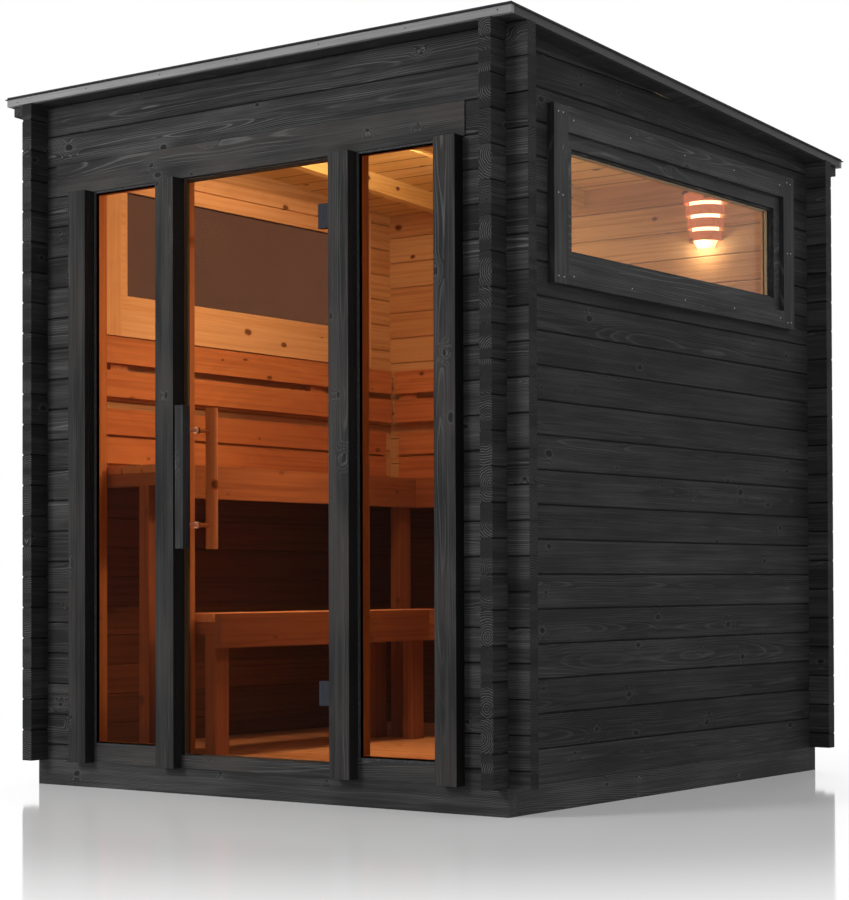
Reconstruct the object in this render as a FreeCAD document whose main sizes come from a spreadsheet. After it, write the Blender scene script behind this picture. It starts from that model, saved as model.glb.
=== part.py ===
import FreeCAD, Part
import os
import re

# Outdoor sauna cabin: log walls with lapped corners, a glazed front with a glass door,
# a long high window in each side wall, benches round two walls and a roof that falls back.
# Millimetres, +Z up, front towards -Y, origin on the ground under the middle of the roof.
# Sizes named low, start or from are measured from the wall's foot, front or left face.

DRIVING_SIZES = [
    ("log_pitch", 108),
    ("log_thick", 45),
    ("log_chamfer", 5),
    ("log_end", 80),
    ("log_tongue", 54),
    ("wall_width", 2020),
    ("wall_depth", 2065),
    ("wall_courses", 21.5),
    ("base_height", 88),
    ("base_thick", 45),
    ("joist_height", 60),
    ("joist_pitch", 600),
    ("floor_thick", 28),
    ("roof_fall", 0.0573),
    ("front_eave", 81),
    ("back_eave", 100),
    ("side_eave", 76),
    ("deck_thick", 24),
    ("fascia_thick", 15),
    ("covering_thick", 9),
    ("lip_thick", 2),
    ("lip_out", 6),
    ("rafter_width", 45),
    ("rafter_height", 70),
    ("rafter_pitch", 560),
    ("header_course", 18.5),
    ("header_start", 95),
    ("header_stop", 151),
    ("header_proud", 4),
    ("frame_start", 193),
    ("frame_stop", 161),
    ("post_face", 81),
    ("door_way", 672),
    ("post_proud", 44),
    ("post_inside", 21),
    ("rail_height", 60),
    ("sill_height", 44),
    ("pane_thick", 8),
    ("pane_set_back", 6),
    ("door_gap", 6),
    ("door_foot_gap", 7),
    ("hinge_reach", 20),
    ("hinge_plate", 48),
    ("plate_gap", 1),
    ("hinge_tall", 80),
    ("hinge_leaf", 6),
    ("hinge_low", 228),
    ("hinge_high", 1767),
    ("notch_reach", 24),
    ("notch_play", 3),
    ("knuckle_radius", 7),
    ("knuckle_tall", 20),
    ("knuckle_play", 0.5),
    ("pin_radius", 3),
    ("pin_play", 0.05),
    ("frame_leaf", 3),
    ("frame_leaf_wide", 36),
    ("bar_from_edge", 55),
    ("bar_low", 740),
    ("bar_long", 479),
    ("bar_reach", 74),
    ("outer_bar", 35),
    ("inner_bar_radius", 21),
    ("standoff_radius", 7),
    ("standoff_inset", 80),
    ("standoff_seat", 14),
    ("window_ring", 45),
    ("ring_proud", 8),
    ("right_window_start", 311),
    ("right_window_back", 285),
    ("right_window_low", 1618),
    ("right_window_tall", 420),
    ("left_window_start", 354),
    ("left_window_back", 285),
    ("left_window_low", 1637),
    ("left_window_tall", 498),
    ("sheet_thick", 4),
    ("sheet_space", 12),
    ("sheet_set_back", 14),
    ("casing_thick", 26),
    ("casing_side", 82),
    ("casing_foot", 62),
    ("right_casing_top", 80),
    ("left_casing_top", 60),
    ("lining_thick", 20),
    ("lining_side", 80),
    ("lining_foot", 100),
    ("lining_top", 50),
    ("bench_start", 76),
    ("bench_board", 28),
    ("bench_drop", 116),
    ("slat_gap", 10),
    ("slat_thick", 28),
    ("bearer", 45),
    ("upper_top", 1037),
    ("upper_depth", 520),
    ("lower_top", 520),
    ("lower_lap", 15),
    ("lower_depth", 250),
    ("leg_thin", 45),
    ("leg_wide", 70),
    ("front_leg_inset", 375),
    ("rest_height", 96),
    ("rest_batten", 30),
    ("rest_batten_wide", 90),
    ("rest_board", 22),
    ("rest_corner", 60),
    ("rest_gap_seat", 28),
    ("rest_gap_low", 10),
    ("rest_gap_middle", 40),
    ("rest_gap_high", 27),
    ("lamp_from_right", 430),
    ("lamp_low", 1945),
    ("lamp_radius", 88),
    ("lamp_taper", 7),
    ("lamp_band", 36),
    ("lamp_band_gap", 14),
    ("lamp_wall", 8),
]

UPPER_SLATS = 5
LOWER_SLATS = 2
LAMP_BANDS = 4
LEFT_BATTENS = (0.16, 0.72)  # shares of the wall's depth
BACK_BATTENS = (0.08, 0.5, 0.92)  # shares of the wall's width

doc = FreeCAD.newDocument("SaunaCabin")
sheet = doc.addObject("Spreadsheet::Sheet", "Sizes")
for row, (alias, value) in enumerate(DRIVING_SIZES, start=1):
    sheet.set("A%d" % row, alias)
    sheet.set("B%d" % row, str(value))
    sheet.setAlias("B%d" % row, alias)
doc.recompute()

WORD = re.compile(r"\b(" + "|".join(alias for alias, value in DRIVING_SIZES) + r")\b")


def size(alias):
    """The number that the sheet holds under one alias."""
    return float(sheet.get(alias))


def formula(text):
    """An expression on the sheet's cells, from plain words."""
    return WORD.sub(r"Sizes.\1", text)


# Datum planes of the cabin: the walls' outer faces, their inner faces and the walls' foot.
LEFT = "(-wall_width / 2)"
RIGHT = "(wall_width / 2)"
FRONT = "((front_eave - back_eave - wall_depth) / 2)"
BACK = "((front_eave - back_eave + wall_depth) / 2)"
ROOM_LEFT = "(-wall_width / 2 + log_thick)"
ROOM_RIGHT = "(wall_width / 2 - log_thick)"
ROOM_FRONT = "((front_eave - back_eave - wall_depth) / 2 + log_thick)"
ROOM_BACK = "((front_eave - back_eave + wall_depth) / 2 - log_thick)"
FOOT = "base_height"

# The same planes as numbers, for the shapes that are drawn point by point.
left_x = -size("wall_width") / 2
right_x = size("wall_width") / 2
front_y = (size("front_eave") - size("back_eave") - size("wall_depth")) / 2
back_y = front_y + size("wall_depth")
foot_z = size("base_height")
pitch = size("log_pitch")
thick = size("log_thick")
log_end = size("log_end")
wall_top = foot_z + size("wall_courses") * pitch
course_count = int(size("wall_courses")) + 2
roof_front = front_y - size("front_eave")
roof_back = back_y + size("back_eave")
roof_left = left_x - size("side_eave")
roof_right = right_x + size("side_eave")

nodes = []


def node(label, thing):
    """Names one finished piece and keeps it for the export."""
    thing.Label = label
    nodes.append((label, thing))
    return thing


def block(name, xs, ys, zs):
    """A square-edged piece between three pairs of expressions."""
    thing = doc.addObject("Part::Box", name)
    for side, (low, high) in zip(("Length", "Width", "Height"), (xs, ys, zs)):
        thing.setExpression(side, formula("(%s) - (%s)" % (high, low)))
    for axis, (low, high) in zip("xyz", (xs, ys, zs)):
        thing.setExpression("Placement.Base." + axis, formula(low))
    return thing


def rod(name, radius, long, place, turn=None):
    """A round piece from expressions, upright unless a turn is given."""
    thing = doc.addObject("Part::Cylinder", name)
    thing.setExpression("Radius", formula(radius))
    thing.setExpression("Height", formula(long))
    if turn:
        thing.Placement = FreeCAD.Placement(FreeCAD.Vector(), turn)
    for axis, text in zip("xyz", place):
        thing.setExpression("Placement.Base." + axis, formula(text))
    return thing


def group(name, things):
    """Pieces that don't touch, kept together."""
    thing = doc.addObject("Part::Compound", name)
    thing.Links = things
    return thing


def joined(name, things):
    """Shapes made one piece."""
    thing = doc.addObject("Part::MultiFuse", name)
    thing.Shapes = things
    thing.Refine = True
    return thing


def cut(name, base, tool):
    """One shape less another."""
    thing = doc.addObject("Part::Cut", name)
    thing.Base = base
    thing.Tool = tool
    thing.Refine = True
    return thing


def shaped(name, shape):
    """A shape worked out from the sheet's numbers."""
    thing = doc.addObject("Part::Feature", name)
    thing.Shape = shape
    return thing


def prism(name, points, run):
    """A closed outline pushed along run."""
    corners = [FreeCAD.Vector(*point) for point in points]
    outline = shaped(name + "_outline", Part.makePolygon(corners + corners[:1]))
    way = FreeCAD.Vector(*run)
    thing = doc.addObject("Part::Extrusion", name)
    thing.Base = outline
    thing.DirMode = "Custom"
    thing.Dir = way
    thing.LengthFwd = way.Length
    thing.Solid = True
    return thing


def roof_under(y):
    """Height of the roof deck's underside at a depth y."""
    return wall_top - size("roof_fall") * (y - front_y)


def sloped(name, x_low, x_high, y_low, y_high, low, high):
    """A piece of the roof between two heights over the deck's underside."""
    points = [(x_low, y_low, roof_under(y_low) + low), (x_low, y_high, roof_under(y_high) + low),
              (x_low, y_high, roof_under(y_high) + high), (x_low, y_low, roof_under(y_low) + high)]
    return prism(name, points, (x_high - x_low, 0, 0))


# Log walls. A wall is drawn as the outline of its stacked logs, with a V where two meet,
# and pushed along its length. Front and back logs lie half a log lower than side logs.


def stack_outline(low, high, joints):
    """Across and up, round a stack of logs from low to high."""
    vee = size("log_chamfer")
    side = []
    for joint in joints:
        if joint - vee > low - vee and joint < high + vee:
            if joint > low:
                side.append((0, joint - vee))
            side.append((vee, joint))
            if joint < high:
                side.append((0, joint + vee))
    if not side or side[0][1] > low:
        side.insert(0, (0, low))
    if side[-1][1] < high:
        side.append((0, high))
    return side + [(thick - across, up) for across, up in reversed(side)]


def logs_along_x(name, x_low, x_high, y, low, high):
    """A stretch of the front or back wall."""
    joints = [foot_z + (course + 0.5) * pitch for course in range(course_count)]
    outline = stack_outline(low, high, [joint for joint in joints if low <= joint <= high])
    points = [(x_low, y + across, up) for across, up in outline]
    return prism(name, points, (x_high - x_low, 0, 0))


def logs_along_y(name, x, high):
    """A side wall from end to end."""
    joints = [foot_z + course * pitch for course in range(1, course_count)]
    outline = stack_outline(foot_z, high, [joint for joint in joints if joint < high])
    points = [(x + across, front_y - log_end, up) for across, up in outline]
    return prism(name, points, (0, size("wall_depth") + 2 * log_end, 0))


def laps(name, corners, shift):
    """Slots at the wall crossings, where the other wall's logs pass through."""
    tongue = size("log_tongue")
    slots = []
    for x, y in corners:
        for course in range(course_count + 1):
            middle = foot_z + (course + shift) * pitch
            slots.append(Part.makeBox(thick, thick, tongue, FreeCAD.Vector(x, y, middle - tongue / 2)))
    return shaped(name, Part.makeCompound(slots))


def over_roof(name):
    """The space over the deck's underside, cut from every wall's top."""
    reach = size("wall_depth")
    return sloped(name, 2 * roof_left, 2 * roof_right, front_y - reach, back_y + reach, 0, reach)


front_left_corner = (left_x, front_y)
front_right_corner = (right_x - thick, front_y)
back_left_corner = (left_x, back_y - thick)
back_right_corner = (right_x - thick, back_y - thick)
header_low = foot_z + size("header_course") * pitch
header_high = header_low + pitch
frame_left = left_x + size("frame_start")
frame_right = right_x - size("frame_stop")
tall_enough = wall_top + pitch


def front_stub(name, x_low, x_high, notch_low, notch_high, corner):
    """The log wall beside the glazed front, notched for the header board's end."""
    logs = logs_along_x(name + "_logs", x_low, x_high, front_y, foot_z, header_high)
    room = Part.makeBox(notch_high - notch_low, thick, pitch,
                        FreeCAD.Vector(notch_low, front_y, header_low))
    less_header = cut(name + "_less_header", logs, shaped(name + "_header_room", room))
    return node(name, cut(name, less_header, laps(name + "_laps", [corner], 0.5)))


front_stub("front_wall_left", left_x - log_end, frame_left,
           left_x + size("header_start"), frame_left, front_left_corner)
front_stub("front_wall_right", frame_right, right_x + log_end,
           frame_right, right_x - size("header_stop"), front_right_corner)

log_run = (left_x - log_end, right_x + log_end)
top_logs = logs_along_x("top_logs", *log_run, front_y, header_high, tall_enough)
top_lapped = cut("top_lapped", top_logs, laps("top_laps", [front_left_corner, front_right_corner], 0.5))
node("front_wall_top", cut("front_wall_top", top_lapped, over_roof("over_front")))

back_logs = logs_along_x("back_logs", *log_run, back_y - thick, foot_z, tall_enough)
back_lapped = cut("back_lapped", back_logs, laps("back_laps", [back_left_corner, back_right_corner], 0.5))
node("back_wall", cut("back_wall", back_lapped, over_roof("over_back")))


def side_wall(name, x, corners, window):
    """A side wall with its lapped ends, sloping top and window opening."""
    logs = logs_along_y(name + "_logs", x, tall_enough)
    lapped = cut(name + "_lapped", logs, laps(name + "_laps", corners, 0))
    topped = cut(name + "_topped", lapped, over_roof(name + "_over"))
    opening = block(name + "_opening", ("%f" % (x - thick), "%f" % (x + 2 * thick)),
                    (FRONT + " + %s_start" % window, BACK + " - %s_back" % window),
                    (FOOT + " + %s_low" % window, FOOT + " + %s_low + %s_tall" % (window, window)))
    return node(name, cut(name, topped, opening))


side_wall("left_wall", left_x, [front_left_corner, back_left_corner], "left_window")
side_wall("right_wall", right_x - thick, [front_right_corner, back_right_corner], "right_window")

# Base frame under the walls, floor joists between its beams and the floor inside the walls.
beam_run = (FRONT + " + base_thick", BACK + " - base_thick")
for label, xs, ys in (("base_front_beam", (LEFT, RIGHT), (FRONT, FRONT + " + base_thick")),
                      ("base_back_beam", (LEFT, RIGHT), (BACK + " - base_thick", BACK)),
                      ("base_left_beam", (LEFT, LEFT + " + base_thick"), beam_run),
                      ("base_right_beam", (RIGHT + " - base_thick", RIGHT), beam_run)):
    node(label, block(label, xs, ys, ("0", FOOT)))
joists = []
for step in (-1, 0, 1):
    middle = "%d * joist_pitch" % step
    joist_xs = (middle + " - base_thick / 2", middle + " + base_thick / 2")
    joists.append(block("joist_%d" % (step + 1), joist_xs, beam_run, (FOOT + " - joist_height", FOOT)))
node("floor_joists", group("floor_joists", joists))
floor_sheet = block("floor_sheet", (ROOM_LEFT, ROOM_RIGHT), (ROOM_FRONT, ROOM_BACK),
                    (FOOT, FOOT + " + floor_thick"))
frame_room = block("frame_room", (LEFT + " + frame_start", RIGHT + " - frame_stop"),
                   (ROOM_FRONT, ROOM_FRONT + " + post_inside"), (FOOT, FOOT + " + floor_thick"))
node("floor", cut("floor", floor_sheet, frame_room))

# Roof: a board deck on the walls and rafters, fascias round its edge, and a covering
# with a thin lip that throws the water off.
edge = size("fascia_thick")
deck_thick = size("deck_thick")
node("roof_deck", sloped("roof_deck", roof_left + edge, roof_right - edge,
                         roof_front + edge, roof_back - edge, 0, deck_thick))
fascia_front = sloped("fascia_front", roof_left, roof_right, roof_front, roof_front + edge, 0, deck_thick)
fascia_back = sloped("fascia_back", roof_left, roof_right, roof_back - edge, roof_back, 0, deck_thick)
node("fascia_ends", group("fascia_ends", [fascia_front, fascia_back]))
fascia_run = (roof_front + edge, roof_back - edge, 0, deck_thick)
fascia_left = sloped("fascia_left", roof_left, roof_left + edge, *fascia_run)
fascia_right = sloped("fascia_right", roof_right - edge, roof_right, *fascia_run)
node("fascia_sides", group("fascia_sides", [fascia_left, fascia_right]))
lip = size("lip_out")
lip_top = deck_thick + size("lip_thick")
covering_body = sloped("covering_body", roof_left, roof_right, roof_front, roof_back,
                       deck_thick, deck_thick + size("covering_thick"))
covering_lip = sloped("covering_lip", roof_left - lip, roof_right + lip,
                      roof_front - lip, roof_back + lip, deck_thick, lip_top)
node("roof_covering", joined("roof_covering", [covering_body, covering_lip]))
rafters = []
for step in (-1, 0, 1):
    middle = step * size("rafter_pitch")
    half = size("rafter_width") / 2
    rafters.append(sloped("rafter_%d" % (step + 1), middle - half, middle + half,
                          front_y + thick, back_y - thick, -size("rafter_height"), 0))
node("rafters", group("rafters", rafters))

# Glazed front: a header board in the log wall, four posts under it, a rail under each
# side pane, a sill under the door and the two side panes.
HEADER_LOW = FOOT + " + header_course * log_pitch"
header_xs = (LEFT + " + header_start", RIGHT + " - header_stop")
node("header_board", block("header_board", header_xs, (FRONT + " - header_proud", ROOM_FRONT),
                           (HEADER_LOW, HEADER_LOW + " + log_pitch")))
FRAME_LEFT = LEFT + " + frame_start"
SIDE_LIGHT = "((wall_width - frame_start - frame_stop - 4 * post_face - door_way) / 2)"
LIGHT_ONE = FRAME_LEFT + " + post_face"
MULLION_ONE = LIGHT_ONE + " + " + SIDE_LIGHT
DOOR_LEFT = MULLION_ONE + " + post_face"
DOOR_RIGHT = DOOR_LEFT + " + door_way"
LIGHT_TWO = DOOR_RIGHT + " + post_face"
JAMB_TWO = LIGHT_TWO + " + " + SIDE_LIGHT
post_run = (FRONT + " - post_proud", ROOM_FRONT + " + post_inside")
for label, start in (("left_jamb", FRAME_LEFT), ("left_mullion", MULLION_ONE),
                     ("right_mullion", DOOR_RIGHT), ("right_jamb", JAMB_TWO)):
    node(label, block(label, (start, start + " + post_face"), post_run, (FOOT, HEADER_LOW)))
rail_run = (FRONT, ROOM_FRONT + " + post_inside")
lights = (("left", LIGHT_ONE), ("right", LIGHT_TWO))
rails = [block(side + "_rail", (start, start + " + " + SIDE_LIGHT), rail_run, (FOOT, FOOT + " + rail_height"))
         for side, start in lights]
node("side_light_rails", group("side_light_rails", rails))
PANE_FRONT = FRONT + " + pane_set_back"
pane_run = (PANE_FRONT, PANE_FRONT + " + pane_thick")
for side, start in lights:
    label = side + "_side_light_glass"
    node(label, block(label, (start, start + " + " + SIDE_LIGHT), pane_run,
                      (FOOT + " + rail_height", HEADER_LOW)))
node("door_sill", block("door_sill", (DOOR_LEFT, DOOR_RIGHT),
                        (FRONT + " - header_proud", ROOM_FRONT + " + post_inside"),
                        (FOOT, FOOT + " + sill_height")))

# Glass door: one sheet with a notch at each hinge, hung on the right mullion.
HINGE_X = DOOR_RIGHT + " - hinge_reach"
PANE_MIDDLE = PANE_FRONT + " + pane_thick / 2"
PANE_BACK = PANE_FRONT + " + pane_thick"
door_sheet = block("door_sheet", (DOOR_LEFT + " + door_gap", DOOR_RIGHT + " - door_gap"), pane_run,
                   (FOOT + " + sill_height + door_foot_gap", HEADER_LOW + " - door_gap"))
hinges = (("low", "base_height + hinge_low"), ("high", "base_height + hinge_high"))
notches = [block("notch_" + name, (HINGE_X + " - notch_reach", DOOR_RIGHT), pane_run,
                 (start + " - notch_play", start + " + hinge_tall + notch_play"))
           for name, start in hinges]
node("door_glass", cut("door_glass", door_sheet, group("door_notches", notches)))

# Hinges: a clamp on the glass with the middle knuckle, and a leaf on the mullion with
# the two outer knuckles and the pin.
door_halves = []
frame_halves = []
for name, start in hinges:
    plate_edge = HINGE_X + " - knuckle_radius - plate_gap"
    plate_run = (plate_edge + " - hinge_plate", plate_edge)
    tall = (start, start + " + hinge_tall")
    middle_low = start + " + knuckle_tall + knuckle_play"
    middle_tall = "hinge_tall - 2 * knuckle_tall - 2 * knuckle_play"
    plates = [block("plate_front_" + name, plate_run, (PANE_FRONT + " - hinge_leaf", PANE_FRONT), tall),
              block("plate_back_" + name, plate_run, (PANE_BACK, PANE_BACK + " + hinge_leaf"), tall),
              block("clamp_web_" + name, (HINGE_X + " - notch_reach", HINGE_X), pane_run,
                    (middle_low, middle_low + " + " + middle_tall)),
              rod("knuckle_middle_" + name, "knuckle_radius", middle_tall,
                  (HINGE_X, PANE_MIDDLE, middle_low))]
    bore = rod("bore_" + name, "pin_radius + pin_play", "hinge_tall", (HINGE_X, PANE_MIDDLE, start))
    door_halves.append(cut("clamp_" + name, joined("clamp_body_" + name, plates), bore))
    leaf_run = (PANE_MIDDLE + " - frame_leaf_wide / 2", PANE_MIDDLE + " + frame_leaf_wide / 2")
    leaf_parts = [block("leaf_" + name, (DOOR_RIGHT + " - frame_leaf", DOOR_RIGHT), leaf_run, tall),
                  rod("pin_" + name, "pin_radius", "hinge_tall", (HINGE_X, PANE_MIDDLE, start))]
    for end, low in (("foot", start), ("head", start + " + hinge_tall - knuckle_tall")):
        leaf_parts.append(block("web_%s_%s" % (end, name), (HINGE_X, DOOR_RIGHT + " - frame_leaf"),
                                (PANE_MIDDLE + " - pane_thick / 2", PANE_MIDDLE + " + pane_thick / 2"),
                                (low, low + " + knuckle_tall")))
        leaf_parts.append(rod("knuckle_%s_%s" % (end, name), "knuckle_radius", "knuckle_tall",
                              (HINGE_X, PANE_MIDDLE, low)))
    frame_halves.append(joined("leaf_half_" + name, leaf_parts))
node("hinge_clamps", group("hinge_clamps", door_halves))
node("hinge_leaves", group("hinge_leaves", frame_halves))

# Door handles: a square bar outside and a round bar inside, on standoffs through one line.
BAR_X = DOOR_LEFT + " + door_gap + bar_from_edge"
BAR_LOW = "base_height + bar_low"
OUTER_Y = PANE_MIDDLE + " - bar_reach"
INNER_Y = PANE_MIDDLE + " + bar_reach"
node("outer_handle", block("outer_handle", (BAR_X + " - outer_bar / 2", BAR_X + " + outer_bar / 2"),
                           (OUTER_Y + " - outer_bar / 2", OUTER_Y + " + outer_bar / 2"),
                           (BAR_LOW, BAR_LOW + " + bar_long")))
towards_back = FreeCAD.Rotation(FreeCAD.Vector(1, 0, 0), -90)
standoffs = []
inner_rods = []
for name, up in (("low", "standoff_inset"), ("high", "bar_long - standoff_inset")):
    height = BAR_LOW + " + " + up
    standoffs.append(rod("standoff_out_" + name, "standoff_radius",
                         "bar_reach - outer_bar / 2 - pane_thick / 2",
                         (BAR_X, OUTER_Y + " + outer_bar / 2", height), towards_back))
    inner = rod("standoff_in_" + name, "standoff_radius",
                "bar_reach - inner_bar_radius + standoff_seat - pane_thick / 2",
                (BAR_X, PANE_BACK, height), towards_back)
    standoffs.append(inner)
    inner_rods.append(inner)
node("handle_standoffs", group("handle_standoffs", standoffs))
inner_bar = rod("inner_bar", "inner_bar_radius", "bar_long", (BAR_X, INNER_Y, BAR_LOW))
node("inner_handle", cut("inner_handle", inner_bar, group("inner_handle_seats", inner_rods)))


# Side windows: a frame through the wall, two sheets of glass in it, casing boards
# outside and a lining inside.


def side_span(side, low, high):
    """Two places across a side wall, measured outwards from its outer face."""
    if side == "right":
        return (RIGHT + " + %s" % low, RIGHT + " + %s" % high)
    return (LEFT + " - (%s)" % high, LEFT + " - (%s)" % low)


def ring(name, xs, ys, zs, edges):
    """A frame round an opening: xs across, and edges as start, end, foot and top widths."""
    start, end, foot, top = edges
    outer = block(name + "_outer", xs, ys, zs)
    inner = block(name + "_inner", (xs[0] + " - log_thick", xs[1] + " + log_thick"),
                  (ys[0] + " + " + start, ys[1] + " - " + end), (zs[0] + " + " + foot, zs[1] + " - " + top))
    return cut(name, outer, inner)


def side_window(side):
    """Every piece of one side window."""
    key = side + "_window"
    ys = (FRONT + " + %s_start" % key, BACK + " - %s_back" % key)
    low = FOOT + " + %s_low" % key
    high = low + " + %s_tall" % key
    frame = ring(key + "_frame", side_span(side, "-log_thick", "ring_proud"), ys, (low, high),
                 ["window_ring"] * 4)
    node(key + "_frame", frame)
    clear_y = (ys[0] + " + window_ring", ys[1] + " - window_ring")
    clear_z = (low + " + window_ring", high + " - window_ring")
    near = "-sheet_set_back"
    far = "-sheet_set_back - sheet_thick - sheet_space"
    sheets = [block("%s_sheet_%d" % (key, number), side_span(side, place + " - sheet_thick", place),
                    clear_y, clear_z) for number, place in enumerate((near, far))]
    node(key + "_glass", group(key + "_glass", sheets))
    casing_x = side_span(side, "0", "casing_thick")
    casing_low = low + " - casing_foot"
    casing_high = high + " + %s_casing_top" % side
    casing_z = (casing_low, casing_high)
    stiles = [block(key + "_stile_front", casing_x, (ys[0] + " - casing_side", ys[0]), casing_z),
              block(key + "_stile_back", casing_x, (ys[1], ys[1] + " + casing_side"), casing_z)]
    node(key + "_casing_stiles", group(key + "_casing_stiles", stiles))
    boards = [block(key + "_foot_board", casing_x, ys, (casing_low, low)),
              block(key + "_top_board", casing_x, ys, (high, casing_high))]
    node(key + "_casing_boards", group(key + "_casing_boards", boards))
    lining = ring(key + "_lining", side_span(side, "-log_thick - lining_thick", "-log_thick"),
                  (ys[0] + " - lining_side", ys[1] + " + lining_side"),
                  (low + " - lining_foot", high + " + lining_top"),
                  ["lining_side", "lining_side", "lining_foot", "lining_top"])
    node(key + "_lining", lining)


side_window("right")
side_window("left")

# Benches: an upper and a lower bench along the left and the back wall, each of slats on
# bearers behind an L of front boards, with legs down to the floor.
FLOOR_TOP = "base_height + floor_thick"
BENCH_FRONT = FRONT + " + bench_start"


def bench(name, top, near, far, slats):
    """Slats, front board and bearers of one bench, from near to far off the walls."""
    top_z = "base_height + " + top
    board_back = ROOM_LEFT + " + %s - bench_board" % far
    slat_z = (top_z + " - slat_thick", top_z)
    pitch_text = "((%s) - (%s) - bench_board) / %d" % (far, near, slats)
    slat_things = []
    for number in range(slats):
        first = "%s + %d * %s" % (near, number, pitch_text)
        last = "%s + %d * %s - slat_gap" % (near, number + 1, pitch_text)
        slat_things.append(block("%s_left_slat_%d" % (name, number),
                                 (ROOM_LEFT + " + " + first, ROOM_LEFT + " + " + last),
                                 (BENCH_FRONT, ROOM_BACK + " - (%s)" % near), slat_z))
        slat_things.append(block("%s_back_slat_%d" % (name, number),
                                 (board_back, ROOM_RIGHT),
                                 (ROOM_BACK + " - (%s)" % last, ROOM_BACK + " - (%s)" % first), slat_z))
    node(name + "_bench_slats", group(name + "_slats", slat_things))
    board_z = (top_z + " - bench_drop", top_z)
    left_board = block(name + "_left_board", (board_back, ROOM_LEFT + " + " + far),
                       (BENCH_FRONT, ROOM_BACK + " - %s + bench_board" % far), board_z)
    back_board = block(name + "_back_board", (board_back, ROOM_RIGHT),
                       (ROOM_BACK + " - " + far, ROOM_BACK + " - %s + bench_board" % far), board_z)
    node(name + "_bench_front", joined(name + "_board", [left_board, back_board]))
    bearer_z = (top_z + " - slat_thick - bearer", top_z + " - slat_thick")
    left_x_run = (ROOM_LEFT + " + (%s)" % near, board_back)
    back_y_run = (ROOM_BACK + " - %s + bench_board" % far, ROOM_BACK + " - (%s)" % near)
    corner_y = ROOM_BACK + " - %s - leg_wide" % far
    right_x_start = ROOM_RIGHT + " - leg_wide"
    bearers = []
    back_start = ROOM_LEFT + " + " + far
    for place, xs, ys in (("front", left_x_run, (BENCH_FRONT, BENCH_FRONT + " + leg_wide")),
                          ("corner", left_x_run, (corner_y, corner_y + " + leg_wide")),
                          ("back", (back_start, back_start + " + leg_wide"), back_y_run),
                          ("right", (right_x_start, ROOM_RIGHT), back_y_run)):
        bearers.append(block("%s_bearer_%s" % (name, place), xs, ys, bearer_z))
    node(name + "_bench_bearers", group(name + "_bearers", bearers))
    return bearer_z[0]


upper_under = bench("upper", "upper_top", "0", "upper_depth", UPPER_SLATS)
LOWER_REAR = "upper_depth - lower_lap"
LOWER_REACH = "(upper_depth - lower_lap + lower_depth)"
lower_under = bench("lower", "lower_top", LOWER_REAR, LOWER_REACH, LOWER_SLATS)


def leg(name, x, y, top):
    """A bench leg from the floor to the underside of a bearer."""
    return block(name, (x, x + " + leg_thin"), (y, y + " + leg_wide"), (FLOOR_TOP, top))


UPPER_CORNER = ROOM_BACK + " - upper_depth - leg_wide"
LOWER_CORNER = ROOM_BACK + " - %s - leg_wide" % LOWER_REACH
upper_leg_x = ROOM_LEFT + " + upper_depth - bench_board - leg_thin"
lower_leg_x = ROOM_LEFT + " + %s - bench_board - leg_thin" % LOWER_REACH
lower_rear_x = ROOM_LEFT + " + " + LOWER_REAR
right_leg_x = ROOM_RIGHT + " - leg_thin"
node("upper_bench_legs", group("upper_legs", [
    leg("upper_leg_front", ROOM_LEFT + " + front_leg_inset", BENCH_FRONT, upper_under),
    leg("upper_leg_corner", upper_leg_x, UPPER_CORNER, upper_under),
    leg("upper_leg_right", right_leg_x, ROOM_BACK + " - upper_depth + bench_board", upper_under)]))
node("lower_bench_legs", group("lower_legs", [
    leg("lower_leg_front", lower_leg_x, BENCH_FRONT, lower_under),
    leg("lower_leg_front_rear", lower_rear_x, BENCH_FRONT, lower_under),
    leg("lower_leg_corner", lower_leg_x, LOWER_CORNER, lower_under),
    leg("lower_leg_corner_rear", lower_rear_x, LOWER_CORNER, lower_under),
    leg("lower_leg_right", right_leg_x, ROOM_BACK + " - %s + bench_board" % LOWER_REACH, lower_under)]))

# Backrests: two boards on the logs and two above them held off by battens.
rest_y_run = (BENCH_FRONT, ROOM_BACK + " - rest_corner")
rest_x_run = (ROOM_LEFT + " + rest_corner", ROOM_RIGHT)
rest_boards = []
REST_ONE = FOOT + " + upper_top + rest_gap_seat"
REST_TWO = REST_ONE + " + rest_height + rest_gap_low"
REST_THREE = REST_TWO + " + rest_height + rest_gap_middle"
REST_FOUR = REST_THREE + " + rest_height + rest_gap_high"
for number, (low, off) in enumerate(((REST_ONE, "0"), (REST_TWO, "0"),
                                     (REST_THREE, "rest_batten"), (REST_FOUR, "rest_batten"))):
    rest_z = (low, low + " + rest_height")
    left_run = (ROOM_LEFT + " + " + off, ROOM_LEFT + " + %s + rest_board" % off)
    back_run = (ROOM_BACK + " - %s - rest_board" % off, ROOM_BACK + " - " + off)
    rest_boards.append(block("rest_left_%d" % number, left_run, rest_y_run, rest_z))
    rest_boards.append(block("rest_back_%d" % number, rest_x_run, back_run, rest_z))
node("backrest_boards", group("backrest_boards", rest_boards))
batten_z = (REST_THREE, REST_FOUR + " + rest_height")
battens = []
for number, share in enumerate(LEFT_BATTENS):
    middle = FRONT + " + %g * wall_depth" % share
    battens.append(block("batten_left_%d" % number, (ROOM_LEFT, ROOM_LEFT + " + rest_batten"),
                         (middle + " - rest_batten_wide / 2", middle + " + rest_batten_wide / 2"), batten_z))
for number, share in enumerate(BACK_BATTENS):
    middle = LEFT + " + %g * wall_width" % share
    battens.append(block("batten_back_%d" % number,
                         (middle + " - rest_batten_wide / 2", middle + " + rest_batten_wide / 2"),
                         (ROOM_BACK + " - rest_batten", ROOM_BACK), batten_z))
node("backrest_battens", group("backrest_battens", battens))

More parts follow.
